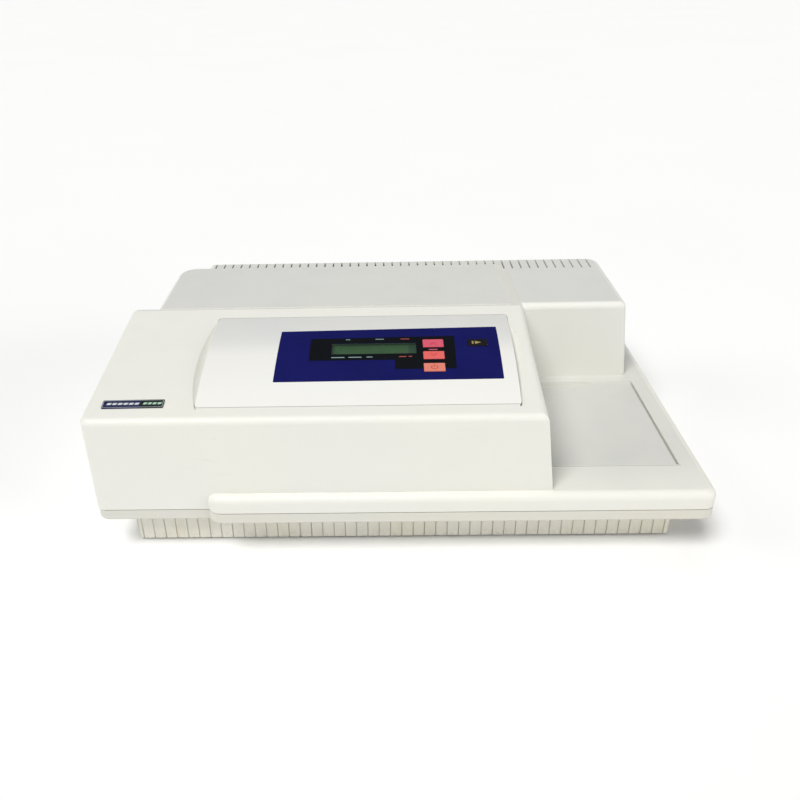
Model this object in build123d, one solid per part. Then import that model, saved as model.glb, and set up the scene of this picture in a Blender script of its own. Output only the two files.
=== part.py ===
from build123d import *
import os
from math import sin, cos, tan, radians, sqrt, atan2, degrees

os.makedirs("parts", exist_ok=True)

# ---- driving dimensions (millimetres, X right, Y to the rear, Z up) ----
half_w = 290.0            # half of the overall width
y_rail = -185.5           # face of the front rail
y_front = -177.5          # front wall of the front block
y_rear = 199.5            # rear face
lay = -7.0                # body lines are drawn about y_front; the finished set moves by this
rail_x0 = -183.0          # left end of the rail
rail_r = 14.0             # rounding of that end in plan
z_plinth = 2.5            # underside of the ribbed plinth
z_base = 43.5             # underside of the base moulding
z_split = 55.2            # parting line
split_gap = 0.9
z_deck = 73.4             # deck and rail top
z_nose = 152.5            # front top edge of the front block
slope = 6.45               # slope of the top, degrees
y_ridge = 18.4
z_top = 174.65            # plateau
z_band = 163.2            # slot band and right rear block
wall = 3.5
# front block side walls: x at two heights
blk_l0, blk_l1 = -290.0, -288.8
blk_r0, blk_r1 = 141.0, 125.8
blk_r1b = 135.6           # the same wall's top at the rear
y_blk_back = 27.0
blk_rl = 8.2             # plan rounding of its rear left corner
# rear block
rear_l0, rear_l1 = -264.0, -260.6
rear_r0, rear_r1 = 266.4, 254.8
band_l0, band_l1 = -239.0, -236.0
y_rear_front = 46.4
y_step = 150.0
rear_rc = 20.0            # plan rounding of the plateau's rear left corner
strip_x0, strip_x1 = 120.2, 138.4   # bevel between plateau and band
# deck recess
rec_xl, rec_xr = 144.8, 267.5
rec_yf, rec_yb = -138.0, 31.2
rec_deep_l, rec_deep_r = 9.6, 1.2
# control panel insert in the slope frame
pan_s0, pan_s1 = 19.8, 178.3
pan_fl, pan_fr = -187.4, 107.4
pan_bl, pan_br = -189.2, 113.8
pan_sag = 6.0
pan_gap = 0.8
pan_floor = -6.6
scoop_deep = 5.6
# vents
slot_n, slot_pitch, slot_w, slot_x_last = 45, 10.62, 1.9, 240.6
slot_y0, slot_y1, slot_z0 = 162.5, 192.5, 150.0
# plinth
pl_x, pl_y0, pl_y1 = 263.6, -154.0, 168.0
rib_pitch, rib_groove_w, rib_groove_d = 11.2, 1.3, 1.0
# drawer
dr_y0, dr_y1 = -132.0, 23.0
dr_x0, dr_x1 = 26.0, 133.5
dr_z0, dr_z1 = 73.4, 81.4
port_y0, port_y1, port_z0, port_z1 = -136.0, 27.0, 72.9, 99.5
travel = 118.0
plate_l, plate_w = 127.76, 85.48     # standard microplate footprint
rod_r, run = 4.0, 0.06
rod_y0, rod_y1, rod_z = -150.0, 45.0, 75.4
dscrew_z, dscrew_y = 64.0, -52.5
# read head stage
gx_z, gy0, gy1 = 124.0, -140.0, 35.0
gx_travel, gy_travel = 63.0, 99.0
# rear panel
rp_x0, rp_x1, rp_z0, rp_z1, rp_y0, rp_y1 = 56.0, 244.0, 58.6, 142.0, 185.6, 187.1

z_up0 = z_split + split_gap / 2       # underside of the upper housing
z_lo1 = z_split - split_gap / 2       # top of the base moulding


# ---- helpers ----
def box(x0, x1, y0, y1, z0, z1):
    return Pos((x0 + x1) / 2, (y0 + y1) / 2, (z0 + z1) / 2) * Box(x1 - x0, y1 - y0, z1 - z0)


def prism(points, direction, length):
    return extrude(make_face(Polyline(*points, close=True)), amount=length, dir=direction)


def prism_x(yz, x0, x1):
    return prism([(x0, y, z) for y, z in yz], (1, 0, 0), x1 - x0)


def prism_y(xz, y0, y1):
    return prism([(x, y0, z) for x, z in xz], (0, 1, 0), y1 - y0)


def prism_z(xy, z0, z1):
    return prism([(x, y, z0) for x, y in xy], (0, 0, 1), z1 - z0)


def cyl(p0, p1, r):
    a, b = Vector(*p0), Vector(*p1)
    d = b - a
    return Plane(origin=a, z_dir=d) * Cylinder(r, d.length, align=(Align.CENTER, Align.CENTER, Align.MIN))


def near(edges, x=None, y=None, z=None, tol=0.6):
    out = []
    for e in edges:
        c = e.center(CenterOf.BOUNDING_BOX)
        ok = True
        for v, want in ((c.X, x), (c.Y, y), (c.Z, z)):
            if want is not None and not (want[0] - tol <= v <= want[1] + tol):
                ok = False
        if ok:
            out.append(e)
    return ShapeList(out)


def vertical(s):
    out = []
    for e in s.edges():
        if e.geom_type != GeomType.LINE:
            continue
        t = e.tangent_at(0.5)
        if abs(t.Z) > 0.9:
            out.append(e)
    return ShapeList(out)


def save(shape, name, dy=None):
    shape = Pos(0, lay if dy is None else dy, 0) * shape
    export_step(shape, "parts/%s.step" % name)
    print(name, round(shape.volume, 1), len(shape.solids()))


# ---- shared outlines ----
def outline(inset, side=0.0, r=12.0):
    """Plan outline of the base with the rail; side pulls in the walls hidden behind the blocks."""
    i = inset
    l, b, f = -half_w + i + side, y_rear - i - side, y_front + i + side
    rx = rail_x0 + rail_r
    pts = [(l, b), (l, f), (rx, f), (rx, y_rail + i), (half_w - i, y_rail + i), (half_w - i, b)]
    return pts


def slab(inset, z0, z1, side=0.0, r=12.0):
    s = prism_z(outline(inset, side), z0, z1)
    outer = [e for e in vertical(s) if abs(e.center().X - (rail_x0 + rail_r)) > 0.1]
    s = fillet(ShapeList(outer), max(r - inset, 2.0))
    return s + cyl((rail_x0 + rail_r, y_rail + rail_r, z0), (rail_x0 + rail_r, y_rail + rail_r, z1), rail_r - inset)


def front_block(t, z0, rv, rt):
    """Front block pulled in by t, down to z0."""
    a0 = (blk_l1 - blk_l0) / (z_top - z_split)
    a1 = (blk_r1 - blk_r0) / (z_top - z_split)
    zt = z_top - t
    xz = [(blk_l0 + t + a0 * (z0 - z_split), z0), (blk_l0 + t + a0 * (zt - z_split), zt),
          (blk_r0 - t + a1 * (zt - z_split), zt), (blk_r0 - t + a1 * (z0 - z_split), z0)]
    ts = tan(radians(slope))
    zn = z_nose - t / cos(radians(slope)) + ts * t
    yr = y_front + t + (zt - zn) / ts
    yz = [(y_front - 0.3 + t, z0), (y_front + 0.7 + t, zn), (yr, zt), (y_blk_back - t, zt), (y_blk_back - t, z0)]
    if t == 0:
        # the right wall leans in less towards the rear, so it is ruled between two end sections
        y0, y1 = y_front - 5.0, y_blk_back + 5.0
        ends = []
        for yy, x1 in ((y0, blk_r1), (y1, blk_r1b)):
            k = (x1 - blk_r0) / (z_top - z_split)
            ends.append(make_face(Polyline((xz[0][0], yy, z0), (xz[1][0], yy, zt), (blk_r0 + k * (zt - z_split), yy, zt), (blk_r0 + k * (z0 - z_split), yy, z0), close=True)))
        b = loft(ends, ruled=True) & prism_x(yz, -320, 180)
    else:
        b = prism_y(xz, y_front - 5, y_blk_back + 5) & prism_x(yz, -320, 180)
    b = b.solids()[0]
    b = fillet(ShapeList([e for e in vertical(b) if e.center().Y < y_front + t + 5]), rv)
    if t == 0:
        b = fillet(ShapeList([e for e in vertical(b) if e.center().Y > 0 and e.center().X < 0]), blk_rl)
    top = ShapeList([e for e in b.edges() if e.center().Z > zn - 14 and abs(e.tangent_at(0.5).Z) < 0.9
                     and e.bounding_box().max.Z > zn - 1])
    ridge = [e for e in top if abs(e.center().Y - yr) < 1.0 and abs(e.tangent_at(0.5).X) > 0.95 and abs(e.center().Z - zt) < 0.5]
    if rt > 0:
        b = fillet(ShapeList([e for e in top if e not in ridge]), rt)
    return b


def rear_main(t, z0, rt):
    a0 = (rear_l1 - rear_l0) / (z_top - z_split)
    a1 = (blk_r1 - blk_r0) / (z_top - z_split)
    zt = z_top - t
    xz = [(rear_l0 + t + a0 * (z0 - z_split), z0), (rear_l0 + t + a0 * (zt - z_split), zt)]
    if t == 0:
        # right top edge bevelled along the line of the strip
        xz += [(strip_x0, zt), (strip_x1, z_band)]
    else:
        xz += [(blk_r0 - t + a1 * (zt - z_split), zt)]
    xz += [(blk_r0 - t + (a1 if t else 0.0) * (z0 - z_split), z0)]
    b = prism_y(xz, y_blk_back - 3.0 if t == 0 else y_blk_back - t - 2.0, y_step - t)
    b = fillet(ShapeList([e for e in vertical(b) if e.center().Y > 100 and e.center().X < 0]), rear_rc - t)
    if rt > 0:
        b = fillet(ShapeList([e for e in b.edges() if e.center().Z > zt - 0.1 and (e.center().X < -200 or e.center().Y > y_step - 8)
                              and e.center().X < 110]), rt)
    return b


def rear_right(t, z0, rv, rt):
    a0 = (band_l1 - band_l0) / (z_band - z_split)
    a1 = (rear_r1 - rear_r0) / (z_band - z_split)
    zt = z_band - t
    xz = [(band_l0 + t + a0 * (z0 - z_split), z0), (band_l0 + t + a0 * (zt - z_split), zt),
          (rear_r0 - t + a1 * (zt - z_split), zt), (rear_r0 - t + a1 * (z0 - z_split), z0)]
    yz = [(y_rear_front - 1.2 + t, z0), (y_rear_front + 1.0 + t, zt), (y_rear - 2.0 - t, zt), (y_rear - 0.3 - t, z0)]
    b = (prism_y(xz, 30, 215) & prism_x(yz, -300, 300)).solids()[0]
    if rv > 0:
        b = fillet(ShapeList([e for e in vertical(b) if (e.center().X > 0) != (e.center().Y > 100)]), rv)
        b = fillet(ShapeList([e for e in vertical(b) if e.center().X > 0 and e.center().Y > 100]), max(16.0 - 2 * t, rv))
    if rt > 0:
        b = fillet(ShapeList([e for e in b.edges() if e.bounding_box().min.Z > zt - 0.2]), rt)
    return b


# ---- upper housing ----
base_top = slab(0.0, z_up0, z_deck, side=0.9)
base_top = fillet(ShapeList([e for e in base_top.edges() if e.bounding_box().min.Z > z_deck - 0.1]), 7.4)
fb = front_block(0.0, z_up0, 10.0, 6.5)
rm = rear_main(0.0, z_up0, 4.0)
rr = rear_right(0.0, z_up0, 7.0, 6.5)
strip = prism_y([(112, 158), (112, z_top), (strip_x0, z_top), (strip_x1, z_band + 0.05), (strip_x1, 158)], y_rear_front + 1.6, y_step)
strip = fillet(ShapeList([e for e in strip.edges() if e.center().Y > y_step - 0.1 and e.center().Z > z_band + 0.3]), 3.0)
outer = base_top + fb + rm + rr + strip

# ramped recess floor under the plate drawer
rec_top = [(rec_xl, rec_yb), (rec_xr, rec_yb), (rec_xr, rec_yf), (rec_xl, rec_yf)]


def recess(drop, grow, z1):
    k = (rec_deep_l - rec_deep_r) / (rec_xr - rec_xl)
    xl, xr = rec_xl - 30, rec_xr + grow
    zl = z_deck - drop - rec_deep_l - k * 30
    zr = z_deck - drop - rec_deep_r + k * grow
    p = prism_y([(xl, zl), (xr, zr), (xr, z1), (xl, z1)], rec_yf - grow, rec_yb + grow)
    return p


inner = (slab(wall, z_up0 - 5, z_deck - wall, side=0.9)
         + front_block(wall, z_up0 - 5, 7.0, 3.5)
         + rear_main(wall, z_up0 - 5, 0)
         + rear_right(wall, z_up0 - 5, 5.0, 3.5)
         + box(-225, 118, 60, y_step - 2, z_up0 - 5, z_band - wall))
# keep the deck wall under the ramp and the block's right wall where it stands on the deck
keep_floor = recess(wall, 3.0, z_deck) - recess(0.0, 0.0, z_deck + 40)
housing = outer - inner
housing = housing + (keep_floor & box(136, 280, -150, 47, 55.4, z_deck - 0.5))
wall_right = prism_y([(blk_r0 - wall - 0.02, z_up0), (blk_r0 - 0.121 * 30 - wall, z_up0 + 30), (blk_r0 - 0.121 * 30, z_up0 + 30), (blk_r0, z_up0)],
                     y_front + 8, y_rear_front + 2)
housing = housing - (recess(0.0, 0.0, z_deck + 0.5) & prism_y([(blk_r0 - 0.121 * 8.2, z_up0 + 8.2), (280, z_up0 + 8.2), (280, z_deck + 1), (blk_r0 - 0.121 * 18.7, z_deck + 1)], rec_yf, rec_yb))
# open gap along the shallow side of the recess and a fine groove along its front edge
housing = housing - box(rec_xr - 1.9, rec_xr, rec_yf + 0.6, rec_yb - 0.6, z_deck - 12, z_deck + 1)
housing = housing - box(rec_xl + 1.0, rec_xr + 1.2, rec_yf - 1.9, rec_yf - 0.7, z_deck - 1.8, z_deck + 1)

# slope frame: local X right, Y up the slope, Z out of it
SF = Plane(origin=(0, y_front, z_nose), x_dir=(1, 0, 0), z_dir=(0, -sin(radians(slope)), cos(radians(slope))))


def pan_x(s, side, grow=0.0):
    f = (s - pan_s0) / (pan_s1 - pan_s0)
    return (pan_fl + f * (pan_bl - pan_fl) - grow) if side < 0 else (pan_fr + f * (pan_br - pan_fr) + grow)


def pan_prism(grow, h0, h1, r=3.0):
    s0, s1 = pan_s0 - grow, pan_s1 + grow
    pts = [(pan_x(s0, -1, grow), s0), (pan_x(s0, 1, grow), s0), (pan_x(s1, 1, grow), s1), (pan_x(s1, -1, grow), s1)]
    p = prism_z(pts, h0, h1)
    return fillet(vertical(p), max(r + grow, 0.6))


arc_r = (((pan_s1 - pan_s0) / 2) ** 2 + pan_sag ** 2) / (2 * pan_sag)
arc_s = (pan_s0 + pan_s1) / 2
arc_h = pan_sag - arc_r


def arc_pt(s, off=0.0):
    rr_ = arc_r + off
    return arc_h + sqrt(rr_ ** 2 - (s - arc_s) ** 2)


def under_arc(off, floor, x0, x1, s0, s1):
    """Solid between a flat floor and the crown surface moved out by off."""
    a = (x0, s0, arc_pt(s0, off))
    m = (x0, (s0 + s1) / 2, arc_pt((s0 + s1) / 2, off))
    b = (x0, s1, arc_pt(s1, off))
    w = Wire([ThreePointArc(a, m, b).edge(), Line(b, (x0, s1, floor)).edge(), Line((x0, s1, floor), (x0, s0, floor)).edge(), Line((x0, s0, floor), a).edge()])
    return extrude(Face(w), amount=x1 - x0, dir=(1, 0, 0))


def crown_band(off0, off1, x0, x1, s0, s1):
    return under_arc(off1, -4.0, x0, x1, s0, s1) - under_arc(off0, -9.0, x0 - 1, x1 + 1, s0 - 0.5, s1 + 0.5)


frame_blk = SF * pan_prism(11.0, -10.2, -0.9, 4.0)
housing = housing + (frame_blk & front_block(0.5, 100, 9.5, 0))
housing = housing - SF * pan_prism(pan_gap, pan_floor, 20.0)
housing = housing - SF * pan_prism(-5.0, -30.0, 20.0)


def scoop(side):
    chord = 79.0
    bulge = 10.0 if side < 0 else 8.6
    rad = (chord ** 2 + bulge ** 2) / (2 * bulge)
    edge_x = (pan_fl + pan_bl) / 2 if side < 0 else (pan_fr + pan_br) / 2 + 0.8
    cx = edge_x - bulge + rad if side < 0 else edge_x + bulge - rad
    run_in = bulge
    cone = Pos(cx, arc_s, -scoop_deep) * Cone(rad - run_in, rad + 2.0 * run_in / scoop_deep, scoop_deep + 2.0, align=(Align.CENTER, Align.CENTER, Align.MIN))
    if side < 0:
        lim = prism_z([(pan_x(pan_s0, -1) + 2, pan_s0 - 4), (pan_x(pan_s0, -1) - 30, pan_s0 - 4), (pan_x(pan_s1, -1) - 30, pan_s1 + 4), (pan_x(pan_s1, -1) + 2, pan_s1 + 4)], -scoop_deep, 3)
    else:
        lim = prism_z([(pan_x(pan_s0, 1) - 2, pan_s0 - 4), (pan_x(pan_s0, 1) + 30, pan_s0 - 4), (pan_x(pan_s1, 1) + 30, pan_s1 + 4), (pan_x(pan_s1, 1) - 2, pan_s1 + 4)], -scoop_deep, 3)
    return SF * (cone & lim)


housing = housing - scoop(-1) - scoop(1)

# plate port in the right wall of the front block
housing = housing - box(120, 150, port_y0, port_y1, port_z0, port_z1)

# vent slots over the rear edge
slots = [box(slot_x_last - i * slot_pitch - slot_w / 2, slot_x_last - i * slot_pitch + slot_w / 2, slot_y0, slot_y1, slot_z0, z_band + 3) for i in range(slot_n)]
housing = housing - slots
# window for the rear connector panel
win = box(60, 240, 187, 207, 63, 137.5)
housing = housing - fillet(win.edges().filter_by(Axis.Y), 3.0)
# bosses for the cover screws
boss_xy = [(-272, -160), (272, -168), (-272, 183), (272, 183)]
for bx, by in boss_xy[:4]:
    housing = housing + (cyl((bx, by, z_up0), (bx, by, z_deck - 2), 5.5))
    housing = housing - cyl((bx, by, z_up0 - 1), (bx, by, z_deck - 6), 2.05)
# parting groove chamfer line comes from the gap itself
housing_solids = sorted(housing.solids(), key=lambda s: -s.volume)
print("housing solids", [round(s.volume) for s in housing_solids[:6]])
housing = housing_solids[0]
save(housing, "upper_housing")

# ---- base moulding ----
tray = slab(0.0, z_base, z_lo1)
tray = tray - slab(wall, z_base + 3.0, z_lo1 + 5)
tray_bottom = ShapeList([e for e in tray.edges() if e.bounding_box().max.Z < z_base + 0.1])
tray = fillet(tray_bottom, 2.0)
for bx, by in boss_xy[:4]:
    tray = tray + cyl((bx, by, z_base + 2), (bx, by, z_lo1), 5.5)
    tray = tray - cyl((bx, by, z_base - 1), (bx, by, z_lo1 + 1), 2.4)
    tray = tray - cyl((bx, by, z_base - 1), (bx, by, z_base + 4.0), 4.4)
save(tray, "base_moulding")

screws = None
for bx, by in boss_xy[:4]:
    s = cyl((bx, by, z_base + 0.6), (bx, by, z_base + 3.9), 4.0) + cyl((bx, by, z_base + 3.0), (bx, by, z_deck - 7.5), 2.0)
    s = s - (Pos(bx, by, z_base + 1.4) * Box(5.2, 1.1, 2.0)) - (Pos(bx, by, z_base + 1.4) * Box(1.1, 5.2, 2.0))
    screws = s if screws is None else screws + s
save(screws, "cover_screws")

# ---- ribbed plinth ----
def ribbed(x, y0, y1):
    pts = []
    def side(a, b, nrm):
        ax, ay = a
        L = sqrt((b[0] - ax) ** 2 + (b[1] - ay) ** 2)
        ux, uy = (b[0] - ax) / L, (b[1] - ay) / L
        n = int(L // rib_pitch)
        m = (L - (n - 1) * rib_pitch) / 2
        out = [a]
        for i in range(n):
            c = m + i * rib_pitch
            for t, d in ((c - rib_groove_w / 2, 0), (c - rib_groove_w / 4, rib_groove_d), (c + rib_groove_w / 4, rib_groove_d), (c + rib_groove_w / 2, 0)):
                out.append((ax + ux * t - nrm[0] * d, ay + uy * t - nrm[1] * d))
        return out
    pts += side((-x, y0), (x, y0), (0, -1))
    pts += side((x, y0), (x, y1), (1, 0))
    pts += side((x, y1), (-x, y1), (0, 1))
    pts += side((-x, y1), (-x, y0), (-1, 0))
    return pts


plinth = prism_z(ribbed(pl_x, pl_y0, pl_y1), z_plinth, z_base)
plinth = fillet(ShapeList([e for e in vertical(plinth) if abs(abs(e.center().X) - pl_x) < 0.01 and min(abs(e.center().Y - pl_y0), abs(e.center().Y - pl_y1)) < 0.01]), 4.6)
plinth = plinth - box(-pl_x + 5, pl_x - 5, pl_y0 + 5, pl_y1 - 5, z_plinth + 2.5, z_base + 1)
foot_xy = [(-238, -128), (238, -128), (-238, 142), (238, 142)]
for px, py in ((-144, -84), (54, -84), (-144, 94), (54, 94)):
    plinth = plinth + cyl((px, py, z_plinth + 1), (px, py, 11.0), 4.0)
for fx, fy in foot_xy:
    plinth = plinth - cyl((fx, fy, z_plinth - 1), (fx, fy, z_plinth + 1.0), 10.15)
save(plinth, "plinth_skirt")
feet = None
for fx, fy in foot_xy:
    f = cyl((fx, fy, 0.0), (fx, fy, z_plinth + 1.0), 10.0)
    f = chamfer(f.edges().group_by(Axis.Z)[0], 0.8)
    feet = f if feet is None else feet + f
save(feet, "rubber_feet")

# ---- control panel insert ----
panel = (under_arc(0.0, pan_floor, -230, 150, pan_s0, pan_s1) & pan_prism(0.0, pan_floor, 12.0))
cavity = under_arc(-2.6, -20.0, -230, 150, pan_s0 - 2, pan_s1 + 2) & pan_prism(-2.8, -20.0, 12.0, 3.4)
panel = panel - cavity
ov = dict(bl=(-119.3, 142.3), br=(98.8, 147.2), fr=(95.6, 53.6), fl=(-119.3, 52.4))


def quad(q, grow, h0, h1, r):
    pts = [(q["fl"][0] - grow, q["fl"][1] - grow), (q["fr"][0] + grow, q["fr"][1] - grow), (q["br"][0] + grow, q["br"][1] + grow), (q["bl"][0] - grow, q["bl"][1] + grow)]
    p = prism_z(pts, h0, h1)
    return fillet(vertical(p), r)


lcd_win = (-67.0, 16.2, 95.6, 115.4)
key_rect = {
    "key_temp_up": (22.9, 43.2, 106.2, 120.6),
    "key_temp_down": (22.6, 42.8, 85.2, 98.2),
    "key_temp_power": (22.2, 42.3, 65.4, 78.0),
    "key_drawer": (67.2, 86.2, 107.2, 120.2),
}
kgap = 0.35
# shallow seat for the keypad, window and key holes
panel = panel - (crown_band(-0.5, 4.0, -150, 130, 40, 160) & quad(ov, 0.15, -6, 14, 1.2))
panel = panel - box(lcd_win[0] - 3, lcd_win[1] + 3, lcd_win[2] - 3, lcd_win[3] + 3, -8, 14)
for x0, x1, s0, s1 in key_rect.values():
    panel = panel - box(x0 - kgap, x1 + kgap, s0 - kgap, s1 + kgap, -8, 14)
save(SF * panel, "control_panel")

overlay = crown_band(-0.45, 0.15, -150, 130, 40, 160) & quad(ov, 0.0, -6, 14, 1.0)
overlay = overlay - box(lcd_win[0], lcd_win[1], lcd_win[2], lcd_win[3], -8, 14)
for x0, x1, s0, s1 in key_rect.values():
    overlay = overlay - box(x0 - kgap, x1 + kgap, s0 - kgap, s1 + kgap, -8, 14)
save(SF * overlay, "keypad_overlay")

lens = crown_band(-1.1, 0.05, lcd_win[0] + 0.15, lcd_win[1] - 0.15, 90, 122) & box(lcd_win[0] - 5, lcd_win[1] + 5, lcd_win[2] + 0.15, lcd_win[3] - 0.15, -6, 14)
save(SF * lens, "lcd_window")
h_lcd = arc_pt(lcd_win[2]) - 3.4
lcd = box(lcd_win[0] - 2.0, lcd_win[1] + 2.0, lcd_win[2] - 2.0, lcd_win[3] + 2.0, h_lcd - 4.0, h_lcd - 0.4)
save(SF * lcd, "lcd_module")
board = box(-92, 92, 58, 140, h_lcd - 5.8, h_lcd - 4.2)
save(SF * board, "keypad_board")

for name, (x0, x1, s0, s1) in key_rect.items():
    k = crown_band(-2.2, 0.75, x0, x1, s0 - 2, s1 + 2) & box(x0 - 1, x1 + 1, s0, s1, -6, 14)
    k = fillet(vertical(k), 1.0)
    top = ShapeList([e for e in k.edges() if e.center().Z > arc_pt((s0 + s1) / 2) + 0.2 and abs(e.tangent_at(0.5).Z) < 0.5])
    try:
        k = fillet(top, 0.35)
    except Exception as err:
        print("key edge", name, err)
    save(SF * k, name)

badge = prism_z([(-271.9, 18.9), (-215.9, 19.6), (-216.5, 31.9), (-272.7, 31.1)], 0.02, 0.9)
badge = fillet(vertical(badge), 0.8)
save(SF * badge, "badge_plate")

# ---- plate drawer ----
slant = lambda z: 139.5 - 0.1212 * (z - 69.0)
tray_b = box(dr_x0, dr_x1, dr_y0, dr_y1, dr_z0, dr_z1)
cx, cy = 80.0, (dr_y0 + dr_y1) / 2
tray_b = fillet(ShapeList([e for e in vertical(tray_b) if e.center().X < 40]), 3.0)
nest = box(cx - plate_w / 2 - 0.4, cx + plate_w / 2 + 0.4, cy - plate_l / 2 - 0.4, cy + plate_l / 2 + 0.4, dr_z0 + 3.0, dr_z1 + 1)
nest = fillet(vertical(nest), 3.0)
nest = chamfer(nest.edges().group_by(Axis.Z)[-1], 0.2)
tray_b = tray_b - nest - box(cx - 36, cx + 36, cy - 58, cy + 58, dr_z0 - 1, dr_z1 + 1)
tray_b = tray_b - box(cx - 14, cx + 14, dr_y0 - 1, dr_y0 + 17, dr_z0 + 3, dr_z1 + 1) - box(cx - 14, cx + 14, dr_y1 - 17, dr_y1 + 1, dr_z0 + 3, dr_z1 + 1)
save(tray_b, "drawer_tray")
fz0, fz1 = port_z0 + 0.4, port_z1 - 0.4
fascia = prism_y([(dr_x1, fz0), (slant(fz0), fz0), (slant(fz1), fz1), (dr_x1, fz1)], port_y0 + 0.4, port_y1 - 0.4)
fascia = fillet(ShapeList([e for e in fascia.edges() if e.center().X > 134.2 and (abs(e.center().Z - fz1) < 0.1 or abs(e.center().Z - fz0) < 0.1)]), 0.6)
save(fascia, "drawer_fascia")
car = box(-62, dr_x0, rod_y0 - 9, rod_y1 + 9, dr_z0, dr_z0 + 4.0) + box(-62, -12, rod_y0 - 9, rod_y0 + 9, rod_z - 9, rod_z + 9) + box(-62, -12, rod_y1 - 9, rod_y1 + 9, rod_z - 9, rod_z + 9)
car = car - box(-2, dr_x0 - 8, cy - 60, cy + 60, dr_z0 - 1, dr_z0 + 9)
car = car - cyl((-70, rod_y0, rod_z), (30, rod_y0, rod_z), 6.0) - cyl((-70, rod_y1, rod_z), (30, rod_y1, rod_z), 6.0)
car = car - box(-11.9, 40, rod_y0 - 12, dr_y0, 60, 90) - box(-11.9, 40, dr_y1, rod_y1 + 12, 60, 90)
save(car, "drawer_carriage")
bush = None
for ry in (rod_y0, rod_y1):
    b = cyl((-61, ry, rod_z), (-13, ry, rod_z), 5.95) - cyl((-70, ry, rod_z), (0, ry, rod_z), rod_r + run)
    bush = b if bush is None else bush + b
save(bush, "drawer_bearings")
nut = box(-60, -42, dscrew_y - 9, dscrew_y + 9, dscrew_z - 4.6, dr_z0) - cyl((-70, dscrew_y, dscrew_z), (-30, dscrew_y, dscrew_z), rod_r + run)
save(nut, "drawer_nut")
rods = None
for ry in (rod_y0, rod_y1):
    r_ = cyl((-124, ry, rod_z), (124, ry, rod_z), rod_r)
    rods = r_ if rods is None else rods + r_
save(rods, "drawer_rods")
z_ch0, z_ch1 = z_base + 3.0, z_base + 5.5
blocks = None
for ry in (rod_y0, rod_y1):
    for x0 in (-125.5, 117.5):
        b = box(x0, x0 + 8, ry - 8, ry + 8, z_ch1, rod_z + 8) - cyl((x0 - 1, ry, rod_z), (x0 + 9, ry, rod_z), rod_r + 0.02)
        blocks = b if blocks is None else blocks + b
dscrew = cyl((-111.5, dscrew_y, dscrew_z), (95, dscrew_y, dscrew_z), rod_r)
rings = [Pos(-104 + i * 6.0, dscrew_y, dscrew_z) * (Rot(0, 90, 0) * (Cylinder(5.0, 1.2) - Cylinder(3.4, 2.0))) for i in range(32)]
dscrew = dscrew - rings
save(dscrew, "drawer_screw")
dend = box(87, 96, dscrew_y - 8, dscrew_y + 8, z_ch1, 71.0) - cyl((80, dscrew_y, dscrew_z), (99, dscrew_y, dscrew_z), rod_r + 0.06)
save(blocks + dend, "drawer_supports")
dmotor = box(-142, -114, dscrew_y - 14, dscrew_y + 14, 50, 78)
dmotor = chamfer(dmotor.edges().filter_by(Axis.X), 3.0) - cyl((-116, dscrew_y, dscrew_z), (-110, dscrew_y, dscrew_z), 5.0)
dmotor = dmotor + box(-116, -112.4, dscrew_y - 13, dscrew_y + 13, z_ch1, 52) 
save(dmotor, "drawer_motor")

# ---- read head stage ----
hd_z0, hd_z1 = 132.6, 135.0
hd = fillet(vertical(box(-18, 126.5, -170, 72, hd_z0, hd_z1)), 4.0) - box(20, 112, -132, 28, hd_z0 - 1, hd_z1 + 1)
save(hd, "stage_plate")
posts = None
for px, py in ((-12, -166), (122, -166), (-12, 66), (122, 66)):
    p = cyl((px, py, z_ch1), (px, py, hd_z0), 3.6)
    posts = p if posts is None else posts + p
save(posts, "stage_posts")
xr = None
for ry in (gy0, gy1):
    r_ = cyl((9, ry, gx_z), (126, ry, gx_z), 3.0)
    xr = r_ if xr is None else xr + r_
save(xr, "stage_rods")
xb = None
for ry in (gy0, gy1):
    for x0 in (8.0, 121.0):
        b = box(x0, x0 + 6, ry - 7, ry + 7, gx_z - 7, hd_z0) - cyl((x0 - 1, ry, gx_z), (x0 + 7, ry, gx_z), 3.02)
        xb = b if xb is None else xb + b
br = (box(25, 55, gy0 - 9, gy0 + 9, gx_z - 8, gx_z + 8) + box(25, 55, gy1 - 9, gy1 + 20, gx_z - 8, gx_z + 8) + box(27, 53, gy0, gy1, gx_z + 3.5, gx_z + 8))
for ry in (gy0, gy1):
    br = br - cyl((20, ry, gx_z), (60, ry, gx_z), 3.06)
br = br - cyl((20, gy1 + 14, gx_z), (60, gy1 + 14, gx_z), 3.06)
br = br - cyl((44, gy0 - 12, gx_z - 4.4 - 1.2), (44, gy1 - 4, gx_z - 5.6), 1.56) 
save(br, "stage_bridge")
yrod = cyl((32, gy0 + 9.0, gx_z - 5), (32, gy1 - 9.0, gx_z - 5), 2.5)
save(yrod, "bridge_rod")
yscrew = cyl((44, gy0 - 9.0, gx_z - 5.6), (44, gy1 - 5, gx_z - 5.6), 1.5) + cyl((44, gy0 + 9.4, gx_z - 5.6), (44, gy1 - 9.4, gx_z - 5.6), 2.5)
save(yscrew, "head_screw")
ymotor = box(35, 53, gy0 - 27, gy0 - 9.2, gx_z - 14.5, gx_z + 3.5)
ymotor = chamfer(ymotor.edges().filter_by(Axis.Y), 2.0) - cyl((44, gy0 - 12, gx_z - 5.6), (44, gy0, gx_z - 5.6), 2.2)
save(ymotor, "head_motor")
head = box(26, 52, -117, -91, 97, gx_z - 1.2) - cyl((32, -130, gx_z - 5), (32, -80, gx_z - 5), 2.56) - cyl((44, -130, gx_z - 5.6), (44, -80, gx_z - 5.6), 2.56)
head = fillet(ShapeList([e for e in vertical(head)]), 2.0)
save(head, "read_head")
hl = cyl((39, -104, 93.0), (39, -104, 96.99), 8.0)
save(hl, "head_lens")
xscrew = cyl((9.5, gy1 + 14, gx_z), (124, gy1 + 14, gx_z), 3.0)
save(xscrew, "stage_screw")
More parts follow.
